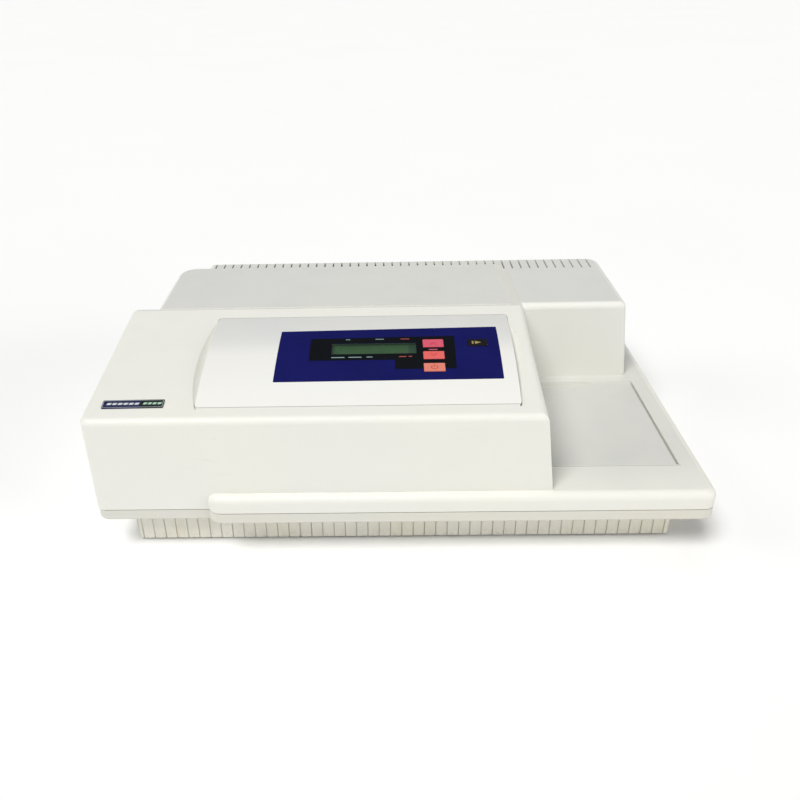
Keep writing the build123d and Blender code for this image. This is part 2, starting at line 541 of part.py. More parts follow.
xend = box(121, 126.5, gy1 + 7.2, gy1 + 21, gx_z - 7, hd_z0) - cyl((118, gy1 + 14, gx_z), (130, gy1 + 14, gx_z), 3.06)
save(xb + xend, "stage_supports")
xmotor = box(-16, 8, gy1 + 4, gy1 + 24, gx_z - 10.8, gx_z + 8.3)
xmotor = chamfer(xmotor.edges().filter_by(Axis.X), 2.0) + cyl((8, gy1 + 14, gx_z), (9.2, gy1 + 14, gx_z), 5.0)
save(xmotor, "stage_motor")

# ---- optics on the chassis ----
chassis = box(-262, 132, -166, 180, z_ch0, z_ch1)
save(chassis, "chassis_plate")
lamp_h = box(-268, -206, -150, -92, z_ch1, 108) - box(-264, -210, -146, -96, z_ch1 + 3, 104) - cyl((-237, -100, 85), (-237, -80, 85), 9.0)
save(lamp_h, "lamp_housing")
lamp = cyl((-237, -121, 60), (-237, -121, 100), 10.0) + cyl((-237, -121, z_ch1 + 3), (-237, -121, 60), 16.0)
save(lamp, "flash_lamp")


def mono(x0, x1, y0, y1, z1, wx, wy):
    m = box(x0, x1, y0, y1, z_ch1, z1) - box(x0 + 3, x1 - 3, y0 + 3, y1 - 3, z_ch1 + 3, z1 - 3)
    return m


ex = mono(-250, -152, -62, 34, 122, 0, 0)
ex = ex - cyl((-237, -70, 85), (-237, -55, 85), 9.0) - cyl((-160, -14, 85), (-145, -14, 85), 8.0)
save(ex, "excitation_housing")
em = mono(-204, -84, 74, 152, 122, 0, 0)
em = em - cyl((-95, 112, 85), (-75, 112, 85), 8.0) - cyl((-144, 68, 85), (-144, 80, 85), 8.0)
save(em, "emission_housing")


def grating(x, y):
    return box(x - 14, x + 14, y - 3, y + 3, 72, 100) + cyl((x, y, z_ch1 + 3.4), (x, y, 72), 5.0)


save(grating(-200, -14), "excitation_grating")
save(grating(-150, 114), "emission_grating")
mir = box(-243, -213, 20, 26, z_ch1 + 3, 104) + box(-120, -92, 82, 88, z_ch1 + 3, 104)
save(mir, "collimating_mirrors")
wheel = cyl((-68, 112, 92), (-64, 112, 92), 30.0)
for i in range(6):
    a = radians(60 * i + 30)
    wheel = wheel - cyl((-70, 112 + 19 * cos(a), 92 + 19 * sin(a)), (-60, 112 + 19 * cos(a), 92 + 19 * sin(a)), 6.5)
wheel = wheel - cyl((-70, 112, 92), (-60, 112, 92), 2.0)
wheel = wheel + cyl((-67, 112, 92), (-58.5, 112, 92), 2.0)
save(wheel, "filter_wheel")
filt = None
for i in range(6):
    a = radians(60 * i + 30)
    f = cyl((-67.6, 112 + 19 * cos(a), 92 + 19 * sin(a)), (-64.4, 112 + 19 * cos(a), 92 + 19 * sin(a)), 6.45)
    filt = f if filt is None else filt + f
save(filt, "filter_glasses")
fm = box(-57, -40, 100, 124, z_ch1, 104) - cyl((-60, 112, 92), (-50, 112, 92), 2.06)
save(fm, "filter_motor")
pmt = box(-32, 44, 92, 132, z_ch1, 112)
pmt = fillet(ShapeList(vertical(pmt)), 4.0) + cyl((-38, 112, 92 + 10), (-32, 112, 102), 8.0)
save(pmt, "detector_module")

# ---- electronics ----
mb = box(-150, 60, -90, 100, 11.0, 12.6) + box(-120, -85, -60, -25, 12.6, 16) + box(-40, 0, -60, -20, 12.6, 15.6) + box(-130, -60, 60, 92, 12.6, 24) + box(10, 50, 20, 90, 12.6, 22) + box(-100, -20, 0, 30, 12.6, 15)
save(mb, "main_board")
psu = box(150, 246, 60, 150, z_base + 3.02, 92)
psu = psu - [box(158 + i * 6, 160.4 + i * 6, 70, 140, 90.8, 93) for i in range(13)]
save(psu, "power_supply")

# ---- rear connector panel (drawn in its final place) ----
rp = box(rp_x0, rp_x1, rp_y0, rp_y1, rp_z0, rp_z1)
fan_x, fan_z, fan_r = 100.0, 100.0, 27.5
for r0, r1 in ((8.0, 12.5), (15.0, 19.5), (22.0, 26.5)):
    ring = cyl((fan_x, rp_y0 - 1, fan_z), (fan_x, rp_y1 + 1, fan_z), r1) - cyl((fan_x, rp_y0 - 2, fan_z), (fan_x, rp_y1 + 2, fan_z), r0)
    ring = ring - (Pos(fan_x, 0, fan_z) * Rot(0, 45, 0) * Box(80, 500, 3.2)) - (Pos(fan_x, 0, fan_z) * Rot(0, -45, 0) * Box(80, 500, 3.2))
    rp = rp - ring
pe_x0, pe_x1, pe_z0, pe_z1 = 198.0, 228.0, 66.0, 132.0
rp = rp - box(pe_x0 - 0.3, pe_x1 + 0.3, 180, 190, pe_z0 - 0.3, pe_z1 + 0.3)
port_z = (84.0, 112.0)
for pz in port_z:
    rp = rp - box(150.8, 169.2, 180, 190, pz - 5.2, pz + 5.2)
    for dx in (-12.5, 12.5):
        rp = rp - cyl((160 + dx, 180, pz), (160 + dx, 190, pz), 1.6)
for hx, hz in ((66.0, 69.0), (235.0, 69.0), (66.0, 131.5), (235.0, 131.5)):
    rp = rp - cyl((hx, 180, hz), (hx, 190, hz), 1.7)
for dx in (-25, 25):
    for dz in (-25, 25):
        rp = rp - cyl((fan_x + dx, 180, fan_z + dz), (fan_x + dx, 190, fan_z + dz), 2.0)
save(rp, "rear_panel", 0.0)

ff = box(fan_x - 30, fan_x + 30, rp_y0 - 25.2, rp_y0 - 0.2, fan_z - 30, fan_z + 30)
ff = fillet(ff.edges().filter_by(Axis.Y), 4.0) - cyl((fan_x, 140, fan_z), (fan_x, 190, fan_z), fan_r + 0.5)
hub = cyl((fan_x, rp_y0 - 25.2, fan_z), (fan_x, rp_y0 - 19, fan_z), 11.0)
arms = [Pos(fan_x, rp_y0 - 23.7, fan_z) * Rot(0, a, 0) * Box(56.5, 3.0, 3.0) for a in (20, 80, 140)]
ff = ff + hub + arms[0] + arms[1] + arms[2]
ff = ff - cyl((fan_x, rp_y0 - 23.5, fan_z), (fan_x, rp_y0 - 10, fan_z), 2.06)
for dx in (-25, 25):
    for dz in (-25, 25):
        ff = ff - cyl((fan_x + dx, 150, fan_z + dz), (fan_x + dx, 190, fan_z + dz), 1.9)
save(ff, "fan_frame", 0.0)
rot = cyl((fan_x, rp_y0 - 18.4, fan_z), (fan_x, rp_y0 - 2.5, fan_z), 11.0) + cyl((fan_x, rp_y0 - 22.5, fan_z), (fan_x, rp_y0 - 17, fan_z), 2.0)
for i in range(7):
    blade = Pos(fan_x, rp_y0 - 10.2, fan_z) * Rot(0, i * 360 / 7, 0) * Pos(18.6, 0, 0) * Rot(38, 0, 0) * Box(16.4, 1.6, 15.0)
    rot = rot + blade
rot = rot & cyl((fan_x, 150, fan_z), (fan_x, rp_y0 - 1.5, fan_z), fan_r - 0.4)
save(rot, "fan_rotor", 0.0)

# power entry module: socket, fuse drawer and rocker in one frame
pe = box(pe_x0, pe_x1, 158, rp_y1 + 1.0, pe_z0, pe_z1) + fillet(box(pe_x0 - 2.2, pe_x1 + 2.2, rp_y1 + 0.02, rp_y1 + 2.2, pe_z0 - 2.0, pe_z1 + 2.0).edges().filter_by(Axis.Y), 2.0)
sx = (pe_x0 + pe_x1) / 2
sock = box(sx - 12.1, sx + 12.1, 166, 200, 70.0, 86.4)
sock = chamfer(ShapeList([e for e in sock.edges().filter_by(Axis.Y) if e.center().Z < 72]), 4.0)
pe = pe - sock
pe = pe - box(sx - 11.0, sx + 11.0, 164, 200, 90.6, 98.4)
pe = pe - box(sx - 11.2, sx + 11.2, 166, 200, 102.8, 128.2)
save(pe, "power_entry_frame", 0.0)
pins = None
for dx, dz in ((-7, -2.2), (0, 1.9), (7, -2.2)):
    p = box(sx + dx - 1.0, sx + dx + 1.0, 166.0, 183, 78.2 + dz - 2.0, 78.2 + dz + 2.0)
    pins = p if pins is None else pins + p
save(pins, "inlet_pins", 0.0)
fd = box(sx - 10.7, sx + 10.7, 165, 189.5, 90.9, 98.1) - box(sx - 9, sx + 9, 166.5, 184, 92.4, 99) 
fd = fd - box(sx - 4, sx + 4, 188.3, 190, 93.5, 95.5)
save(fd, "fuse_drawer", 0.0)
rk_y, rk_z = 184.0, 115.5
rock = prism_x([(rk_y + 3.9, rk_z - 12.0), (rk_y + 7.0, rk_z - 11.0), (rk_y + 4.6, rk_z), (rk_y + 4.6, rk_z + 11.0), (rk_y + 0.5, rk_z + 12.0), (rk_y - 5.0, rk_z + 8.0), (rk_y - 8.0, rk_z), (rk_y - 5.0, rk_z - 8.0)], sx - 10.6, sx + 10.6)
rock = rock & cyl((sx - 20, rk_y, rk_z), (sx + 20, rk_y, rk_z), 12.4)
save(rock, "power_rocker", 0.0)

for name, pz in (("serial_port", port_z[0]), ("aux_port", port_z[1])):
    s = box(151, 169, 172, rp_y0 - 0.05, pz - 5.0, pz + 5.0)
    s = s + box(144.5, 175.5, rp_y0 - 1.0, rp_y0 - 0.05, pz - 6.2, pz + 6.2)
    shell = fillet(box(152, 168, rp_y0 - 0.5, 193.0 - 1.5, pz - 4.3, pz + 4.3).edges().filter_by(Axis.Y), 1.4)
    s = s + shell - fillet(box(152.7, 167.3, 186.4, 200, pz - 3.6, pz + 3.6).edges().filter_by(Axis.Y), 1.0)
    for dx in (-12.5, 12.5):
        s = s + cyl((160 + dx, rp_y0 - 1.0, pz), (160 + dx, 190.6, pz), 1.5)
    save(s, name, 0.0)
rs = None
for hx, hz in ((66.0, 69.0), (235.0, 69.0), (66.0, 131.5), (235.0, 131.5)):
    s = cyl((hx, rp_y0 - 6, hz), (hx, rp_y1 + 0.1, hz), 1.6) + cyl((hx, rp_y1 + 0.02, hz), (hx, rp_y1 + 1.6, hz), 2.6)
    rs = s if rs is None else rs + s
for dx in (-25, 25):
    for dz in (-25, 25):
        rs = rs + cyl((fan_x + dx, rp_y0 - 20, fan_z + dz), (fan_x + dx, rp_y1 + 0.1, fan_z + dz), 1.6) + cyl((fan_x + dx, rp_y1 + 0.02, fan_z + dz), (fan_x + dx, rp_y1 + 1.6, fan_z + dz), 2.6)
save(rs, "rear_screws", 0.0)
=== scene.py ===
import math

import bmesh
import bpy
from mathutils import Matrix, Vector


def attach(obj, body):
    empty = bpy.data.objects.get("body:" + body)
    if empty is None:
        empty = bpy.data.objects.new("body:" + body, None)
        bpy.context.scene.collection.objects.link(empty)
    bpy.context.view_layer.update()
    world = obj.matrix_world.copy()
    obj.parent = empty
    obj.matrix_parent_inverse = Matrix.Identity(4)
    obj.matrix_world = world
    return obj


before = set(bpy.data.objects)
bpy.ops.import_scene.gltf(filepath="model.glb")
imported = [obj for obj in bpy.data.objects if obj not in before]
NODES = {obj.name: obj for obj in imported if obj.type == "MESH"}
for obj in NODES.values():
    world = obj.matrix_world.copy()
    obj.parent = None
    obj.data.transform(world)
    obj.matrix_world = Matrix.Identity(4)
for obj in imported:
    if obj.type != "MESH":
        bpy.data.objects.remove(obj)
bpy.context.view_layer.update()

scene = bpy.context.scene

# ---------------------------------------------------------------- geometry the pieces share with the CAD (mm)
Y_FRONT, Z_NOSE, SLOPE = -184.5, 152.5, math.radians(6.45)
PAN_S0, PAN_S1, SAG = 19.8, 178.3, 6.0
ARC_S = (PAN_S0 + PAN_S1) / 2
ARC_R = (((PAN_S1 - PAN_S0) / 2) ** 2 + SAG ** 2) / (2 * SAG)


def crown(s):
    return SAG - ARC_R + math.sqrt(ARC_R ** 2 - (s - ARC_S) ** 2)


def sf(x, s, h):
    """Point of the sloped top: x to the right, s up the slope, h out of it, in mm; the result is in metres."""
    return Vector((x, Y_FRONT + s * math.cos(SLOPE) - h * math.sin(SLOPE), Z_NOSE + s * math.sin(SLOPE) + h * math.cos(SLOPE))) / 1000.0


# ---------------------------------------------------------------- node helpers
class Mat:
    """Small wrapper that keeps the node code short."""

    def __init__(self, name):
        self.m = bpy.data.materials.new(name)
        self.m.use_nodes = True
        self.t = self.m.node_tree
        self.t.nodes.clear()
        out = self.t.nodes.new("ShaderNodeOutputMaterial")
        self.b = self.t.nodes.new("ShaderNodeBsdfPrincipled")
        self.t.links.new(self.b.outputs[0], out.inputs[0])
        tc = self.t.nodes.new("ShaderNodeTexCoord")
        self.obj = tc.outputs["Object"]

    def n(self, kind, **props):
        node = self.t.nodes.new(kind)
        for k, v in props.items():
            setattr(node, k, v)
        return node

    def link(self, a, b):
        self.t.links.new(a, b)

    def put(self, sock, val):
        if isinstance(val, bpy.types.NodeSocket):
            self.link(val, sock)
        else:
            sock.default_value = val

    def const(self, **vals):
        names = {"metal": "Metallic", "rough": "Roughness", "ior": "IOR", "alpha": "Alpha", "coat": "Coat Weight",
                 "coat_rough": "Coat Roughness", "spec": "Specular IOR Level", "trans": "Transmission Weight",
                 "sheen": "Sheen Weight", "emit": "Emission Strength", "sss": "Subsurface Weight", "sss_scale": "Subsurface Scale"}
        for k, v in vals.items():
            self.b.inputs[names[k]].default_value = v

    def scaled(self, sx, sy, sz, vec=None):
        mp = self.n("ShaderNodeMapping")
        mp.inputs["Scale"].default_value = (sx, sy, sz)
        self.link(vec or self.obj, mp.inputs["Vector"])
        return mp.outputs[0]

    def noise(self, scale, detail=2.0, rough=0.5, vec=None, dist=0.0):
        nd = self.n("ShaderNodeTexNoise")
        nd.inputs["Scale"].default_value = scale
        nd.inputs["Detail"].default_value = detail
        nd.inputs["Roughness"].default_value = rough
        nd.inputs["Distortion"].default_value = dist
        self.link(vec or self.obj, nd.inputs["Vector"])
        return nd.outputs["Fac"]

    def voro(self, scale, vec=None, feature="F1"):
        nd = self.n("ShaderNodeTexVoronoi", feature=feature)
        nd.inputs["Scale"].default_value = scale
        self.link(vec or self.obj, nd.inputs["Vector"])
        return nd.outputs["Distance"]

    def rng(self, val, a, b, c, d, smooth=False):
        nd = self.n("ShaderNodeMapRange")
        nd.clamp = True
        if smooth:
            nd.interpolation_type = "SMOOTHSTEP"
        self.put(nd.inputs["Value"], val)
        for k, v in (("From Min", a), ("From Max", b), ("To Min", c), ("To Max", d)):
            nd.inputs[k].default_value = v
        return nd.outputs["Result"]

    def math(self, op, a, b=0.0, c=None):
        nd = self.n("ShaderNodeMath", operation=op)
        self.put(nd.inputs[0], a)
        self.put(nd.inputs[1], b)
        if c is not None:
            self.put(nd.inputs[2], c)
        return nd.outputs[0]

    def mix(self, fac, a, b, blend="MIX"):
        nd = self.n("ShaderNodeMix", data_type="RGBA", blend_type=blend)
        nd.clamp_factor = True
        ins = [s for s in nd.inputs if s.enabled]
        self.put(ins[0], fac)
        for sock, v in ((ins[1], a), (ins[2], b)):
            self.put(sock, v if isinstance(v, bpy.types.NodeSocket) else (*v[:3], 1.0))
        return [o for o in nd.outputs if o.enabled][0]

    def xyz(self, vec=None):
        nd = self.n("ShaderNodeSeparateXYZ")
        self.link(vec or self.obj, nd.inputs[0])
        return nd.outputs[0], nd.outputs[1], nd.outputs[2]

    def normal_xyz(self):
        g = self.n("ShaderNodeNewGeometry")
        nd = self.n("ShaderNodeSeparateXYZ")
        self.link(g.outputs["Normal"], nd.inputs[0])
        return nd.outputs[0], nd.outputs[1], nd.outputs[2]

    def bump(self, height, strength, distance, normal=None):
        nd = self.n("ShaderNodeBump")
        nd.inputs["Strength"].default_value = strength
        nd.inputs["Distance"].default_value = distance
        self.link(height, nd.inputs["Height"])
        if normal is not None:
            self.link(normal, nd.inputs["Normal"])
        return nd.outputs[0]

    def colour(self, v):
        self.put(self.b.inputs["Base Color"], v if isinstance(v, bpy.types.NodeSocket) else (*v[:3], 1.0))

    def rough(self, v):
        self.put(self.b.inputs["Roughness"], v)

    def normal(self, v):
        self.link(v, self.b.inputs["Normal"])


def lin(r, g, b):
    def f(c):
        c /= 255.0
        return c / 12.92 if c <= 0.04045 else ((c + 0.055) / 1.055) ** 2.4
    return (f(r), f(g), f(b))


def shade(c, k):
    return tuple(max(0.0, min(1.0, v * k)) for v in c)


# ---------------------------------------------------------------- materials
def painted(name, base, warm, grain=1500.0, grain_d=0.00004, r0=0.42, r1=0.56, mottle=0.03, scuff=0.35, dust=0.0, level=None):
    """Moulded or painted housing skin: fine grain, faint mottling and yellowing, light scuffs; with level, painted
    shade on the level faces and in the deck recess.
    """
    m = Mat(name)
    big = m.noise(5.0, 3.0, 0.55)
    mid = m.noise(38.0, 3.0, 0.6)
    col = m.mix(m.rng(big, 0.35, 0.68, 0.0, 1.0, True), shade(base, 1.0 - mottle * 0.4), warm)
    col = m.mix(m.rng(mid, 0.35, 0.7, 0.0, 0.35), col, shade(base, 1.0 - mottle))
    # fine speckle of the textured paint
    sp = m.noise(900.0, 1.0, 0.5)
    col = m.mix(m.rng(sp, 0.62, 0.74, 0.0, 0.22), col, shade(base, 0.86))
    # short faint scuffs, drawn out along X
    sc = m.noise(70.0, 4.0, 0.62, m.scaled(0.35, 2.2, 1.6), 0.6)
    mask = m.noise(9.0, 2.0, 0.5)
    fac = m.math("MULTIPLY", m.rng(sc, 0.63, 0.70, 0.0, 1.0), m.rng(mask, 0.52, 0.66, 0.0, scuff))
    col = m.mix(m.math("MULTIPLY", fac, 0.30), col, shade(base, 0.72))
    if dust > 0:
        _, _, nz = m.normal_xyz()
        up = m.rng(nz, 0.6, 0.98, 0.0, 1.0)
        dn = m.noise(22.0, 5.0, 0.65)
        col = m.mix(m.math("MULTIPLY", up, m.rng(dn, 0.42, 0.72, 0.0, dust)), col, shade(base, 0.90))
    if level:
        # painted shade: the level faces are made darker and cooler, as they catch less of the low front light than the
        # slope and the fronts; the shade is weaker along the front
        _, ny, nz = m.normal_xyz()
        px, py, pz = m.xyz()
        fl = m.noise(7.0, 3.0, 0.6)
        level_shade_mask = m.math("MULTIPLY", m.rng(nz, 0.9925, 0.9992, 0.0, 1.0, True), m.rng(fl, 0.3, 0.7, 0.86, 1.0))
        level_shade_mask = m.math("MULTIPLY", level_shade_mask, m.rng(py, -0.186, -0.118, 0.30, 1.0, True))
        col = m.mix(level_shade_mask, col, level, "MULTIPLY")
        # painted shade: the recess in the deck is made darker and greyer, as shade falls in it
        low = m.math("MULTIPLY", m.rng(pz, 0.0724, 0.0731, 1.0, 0.0), m.rng(nz, 0.97, 0.99, 0.0, 1.0))
        col = m.mix(m.math("MULTIPLY", low, m.rng(fl, 0.3, 0.7, 0.8, 1.0)), col, (0.90, 0.90, 0.912), "MULTIPLY")
    m.colour(col)
    m.rough(m.math("ADD", m.rng(m.noise(60.0, 3.0, 0.6), 0.3, 0.75, r0, r1), m.math("MULTIPLY", fac, -0.12)))
    g1 = m.noise(grain, 2.0, 0.55)
    g2 = m.voro(grain * 0.8)
    h = m.math("ADD", m.math("MULTIPLY", g1, 0.7), m.math("MULTIPLY", g2, 0.5))
    m.normal(m.bump(h, 0.35, grain_d))
    m.const(spec=0.42)
    return m.m


WHITE = (0.762, 0.760, 0.712)
WHITE_W = (0.774, 0.762, 0.694)
M = {}
# level: colour of the painted shade on the level faces
M["housing"] = painted("housing_skin", WHITE, WHITE_W, dust=0.25, level=(0.842, 0.850, 0.872))
M["panel"] = painted("panel_skin", (0.772, 0.770, 0.742), (0.778, 0.766, 0.725), grain=1700.0, r0=0.36, r1=0.5, mottle=0.02, level=(0.86, 0.866, 0.885))
M["base"] = painted("base_skin", (0.660, 0.650, 0.590), (0.660, 0.638, 0.560), grain=1300.0, r0=0.5, r1=0.62, mottle=0.04, scuff=0.8)


def plinth_mat():
    m = Mat("plinth_ribbed")
    x, y, z = m.xyz()
    # how far a point lies inside the outline of the plinth: the groove floors are 1 mm in
    dx = m.math("SUBTRACT", 0.2636, m.math("ABSOLUTE", x))
    dy = m.math("SUBTRACT", 0.161, m.math("ABSOLUTE", y))
    d = m.math("MINIMUM", dx, dy)
    groove = m.rng(d, 0.0001, 0.0009, 0.0, 1.0)
    base, warm = (0.83, 0.815, 0.735), (0.81, 0.78, 0.66)
    big = m.noise(11.0, 3.0, 0.6)
    panel_to_panel = m.noise(90.0, 0.0, 0.5, m.scaled(1.0, 1.0, 0.02))
    col = m.mix(m.rng(big, 0.35, 0.66, 0.0, 1.0, True), base, warm)
    col = m.mix(m.rng(panel_to_panel, 0.4, 0.62, 0.0, 0.5), col, (0.82, 0.81, 0.72))
    grime = m.noise(240.0, 4.0, 0.65)
    low = m.rng(z, 0.003, 0.012, 0.45, 0.0)
    col = m.mix(m.math("MULTIPLY", low, m.rng(grime, 0.45, 0.7, 0.0, 1.0)), col, (0.50, 0.46, 0.37))
    # groove floors darkened: partly dirt in them, partly painted shade that falls in the grooves
    col = m.mix(m.math("MULTIPLY", groove, 0.30), col, (0.42, 0.40, 0.34))
    m.colour(col)
    m.rough(m.rng(m.noise(80.0, 3.0, 0.6), 0.3, 0.7, 0.5, 0.68))
    m.normal(m.bump(m.noise(1300.0, 2.0, 0.6), 0.3, 0.00005))
    m.const(spec=0.35)
    return m.m


M["plinth"] = plinth_mat()


def rubber():
    m = Mat("foot_rubber")
    n = m.noise(160.0, 4.0, 0.6)
    m.colour(m.mix(m.rng(n, 0.35, 0.7, 0.0, 1.0), (0.018, 0.018, 0.019), (0.045, 0.044, 0.042)))
    m.rough(m.rng(n, 0.3, 0.7, 0.72, 0.9))
    m.normal(m.bump(m.noise(900.0, 2.0, 0.6), 0.4, 0.00006))
    m.const(spec=0.3)
    return m.m


M["rubber"] = rubber()


def film(name, c0, c1, r0=0.26, r1=0.36, grain=2600.0, wear=0.0, spec=0.3):
    """Printed polycarbonate film: satin texture, faint rub marks."""
    m = Mat(name)
    n = m.noise(14.0, 3.0, 0.6)
    col = m.mix(m.rng(n, 0.35, 0.68, 0.0, 1.0, True), c0, c1)
    if wear:
        rub = m.noise(120.0, 4.0, 0.7, m.scaled(1.0, 0.5, 1.0), 0.4)
        col = m.mix(m.rng(rub, 0.6, 0.76, 0.0, wear), col, tuple(min(1, v * 1.25 + 0.03) for v in c1))
    m.colour(col)
    m.rough(m.rng(m.noise(45.0, 3.0, 0.6), 0.3, 0.7, r0, r1))
    m.normal(m.bump(m.noise(grain, 1.0, 0.5), 0.16, 0.00002))
    m.const(spec=spec)
    return m.m


M["navy"] = film("film_navy", (0.0050, 0.0062, 0.084), (0.0060, 0.0072, 0.096), 0.46, 0.56, wear=0.006, spec=0.05)
M["ink_black"] = film("film_black", (0.0025, 0.0035, 0.0055), (0.0035, 0.0045, 0.0065), 0.46, 0.56, spec=0.05)
M["ink_white"] = film("print_white", (0.20, 0.30, 0.30), (0.17, 0.26, 0.26), 0.4, 0.5)
M["ink_pink"] = film("print_pink", (0.42, 0.10, 0.12), (0.36, 0.085, 0.10), 0.4, 0.5)
M["ink_red"] = film("print_red", (0.34, 0.065, 0.05), (0.29, 0.055, 0.042), 0.4, 0.5)
M["ink_gold"] = film("print_gold", (0.36, 0.28, 0.11), (0.31, 0.24, 0.09), 0.4, 0.5)
M["key_pink"] = film("key_pink_film", (0.60, 0.088, 0.135), (0.64, 0.10, 0.155), 0.40, 0.50, wear=0.10, spec=0.15)
M["key_coral"] = film("key_coral_film", (0.68, 0.120, 0.110), (0.72, 0.135, 0.125), 0.40, 0.50, wear=0.10, spec=0.15)
M["key_orange"] = film("key_orange_film", (0.65, 0.195, 0.145), (0.69, 0.215, 0.165), 0.40, 0.50, wear=0.10, spec=0.15)
M["key_black"] = film("key_black_film", (0.006, 0.005, 0.006), (0.009, 0.008, 0.009), 0.42, 0.52, spec=0.10)
M["chev_pink"] = film("key_mark_pink", (0.52, 0.03, 0.07), (0.47, 0.03, 0.06), 0.4, 0.5)
M["chev_coral"] = film("key_mark_coral", (0.60, 0.04, 0.04), (0.54, 0.035, 0.035), 0.4, 0.5)
M["chev_orange"] = film("key_mark_orange", (0.42, 0.06, 0.02), (0.38, 0.05, 0.02), 0.4, 0.5)


def badge_mat():
    m = Mat("badge_film")
    x, y, z = m.xyz()
    # slanted division between the two bare halves of the plate
    e = m.math("ADD", x, 0.2379)
    n = m.noise(60.0, 3.0, 0.6)
    left = m.mix(m.rng(n, 0.3, 0.7, 0.0, 1.0), (0.007, 0.010, 0.058), (0.010, 0.014, 0.072))
    right = m.mix(m.rng(n, 0.3, 0.7, 0.0, 1.0), (0.003, 0.0065, 0.008), (0.004, 0.010, 0.011))
    m.colour(m.mix(m.rng(e, -0.0003, 0.0003, 0.0, 1.0), left, right))
    m.rough(m.rng(m.noise(90.0, 3.0, 0.6), 0.3, 0.7, 0.24, 0.36))
    m.normal(m.bump(m.noise(1800.0, 1.0, 0.5), 0.12, 0.00002))
    m.const(spec=0.45)
    return m.m


M["badge"] = badge_mat()


def display_mat():
    """Face of the liquid crystal cell: green, with painted shadow of the bezel at both ends and two rows of unlit
    cells.
    """
    m = Mat("display_green")
    x, y, z = m.xyz()
    xc = m.math("SUBTRACT", m.math("MULTIPLY", x, 1000.0), -27.0)
    right = m.rng(xc, 34.6, 37.4, 0.0, 1.0, True)
    left = m.rng(xc, -38.6, -36.8, 1.0, 0.0, True)
    # cells: 24 columns on 2.95 mm, two rows
    fx = m.math("ABSOLUTE", m.math("SUBTRACT", m.math("FRACT", m.math("MULTIPLY", m.math("ADD", xc, 200.0), 1 / 2.95)), 0.5))
    s = m.math("MULTIPLY", m.math("SUBTRACT", y, -0.0799), 1000.0)
    fs = m.math("ABSOLUTE", m.math("SUBTRACT", m.math("FRACT", m.math("ADD", m.math("MULTIPLY", s, 1 / 7.6), 10.0)), 0.5))
    cell = m.math("MULTIPLY", m.rng(fx, 0.38, 0.44, 1.0, 0.0), m.rng(fs, 0.38, 0.44, 1.0, 0.0))
    n = m.noise(45.0, 3.0, 0.55)
    green = m.mix(m.rng(n, 0.3, 0.7, 0.0, 1.0), (0.060, 0.165, 0.060), (0.072, 0.190, 0.070))
    green = m.mix(m.math("MULTIPLY", cell, 0.16), green, (0.045, 0.17, 0.06))
    # painted shadow: both ends darkened where the bezel shades the cell
    ends = m.math("MAXIMUM", left, right)
    m.colour(m.mix(ends, green, (0.030, 0.085, 0.055)))
    m.rough(m.rng(n, 0.3, 0.7, 0.2, 0.3))
    m.normal(m.bump(m.noise(600.0, 1.0, 0.5), 0.05, 0.00002))
    m.const(spec=0.4)
    return m.m


M["display"] = display_mat()


def window_mat():
    m = Mat("window_clear")
    n = m.noise(30.0, 2.0, 0.5)
    m.colour(m.mix(m.rng(n, 0.3, 0.7, 0.0, 1.0), (0.05, 0.085, 0.055), (0.04, 0.07, 0.045)))
    m.rough(m.rng(m.noise(70.0, 3.0, 0.6), 0.3, 0.7, 0.10, 0.17))
    m.normal(m.bump(m.noise(900.0, 1.0, 0.5), 0.05, 0.00001))
    m.const(alpha=0.26, spec=0.10)
    return m.m


M["window"] = window_mat()


def metal(name, c0, c1, r0, r1, along="x", brush=0.3, metal_w=1.0, spots=0.0):
    m = Mat(name)
    sc = {"x": (0.03, 1.0, 1.0), "y": (1.0, 0.03, 1.0), "z": (1.0, 1.0, 0.03), "o": (1.0, 1.0, 1.0)}[along]
    st = m.noise(700.0, 4.0, 0.65, m.scaled(*sc))
    cloud = m.noise(26.0, 3.0, 0.6)
    col = m.mix(m.rng(st, 0.3, 0.7, 0.0, 0.6), c0, c1)
    col = m.mix(m.rng(cloud, 0.4, 0.7, 0.0, 0.35), col, shade(c0, 0.85))
    if spots:
        sp = m.noise(150.0, 5.0, 0.7)
        col = m.mix(m.rng(sp, 0.64, 0.74, 0.0, spots), col, shade(c0, 0.55))
    m.colour(col)
    m.rough(m.math("ADD", m.rng(st, 0.25, 0.75, r0, r1), m.rng(cloud, 0.3, 0.7, -0.03, 0.05)))
    m.normal(m.bump(st, brush, 0.00002))
    m.const(metal=metal_w)
    return m.m


M["steel"] = metal("steel_plated", (0.60, 0.60, 0.59), (0.68, 0.68, 0.67), 0.26, 0.42, "x", spots=0.3)
M["panel_steel"] = metal("steel_sheet", (0.55, 0.55, 0.54), (0.63, 0.63, 0.62), 0.34, 0.48, "z", spots=0.35)
M["rod"] = metal("steel_ground", (0.66, 0.66, 0.67), (0.74, 0.74, 0.75), 0.14, 0.26, "x", brush=0.15)
M["alu"] = metal("alu_machined", (0.70, 0.71, 0.72), (0.78, 0.79, 0.80), 0.30, 0.46, "y")
M["black_alu"] = metal("alu_black", (0.022, 0.022, 0.025), (0.040, 0.040, 0.045), 0.38, 0.52, "o", metal_w=0.6)
M["motor"] = metal("motor_lacquer", (0.018, 0.018, 0.019), (0.034, 0.034, 0.036), 0.36, 0.5, "o", metal_w=0.2)
M["bronze"] = metal("bronze_sintered", (0.52, 0.35, 0.15), (0.62, 0.44, 0.20), 0.36, 0.5, "o")
M["mirror"] = metal("mirror_coat", (0.88, 0.88, 0.90), (0.92, 0.92, 0.93), 0.03, 0.07, "o", brush=0.03)
M["brass_pin"] = metal("pin_nickel", (0.68, 0.66, 0.60), (0.76, 0.74, 0.68), 0.2, 0.32, "y")


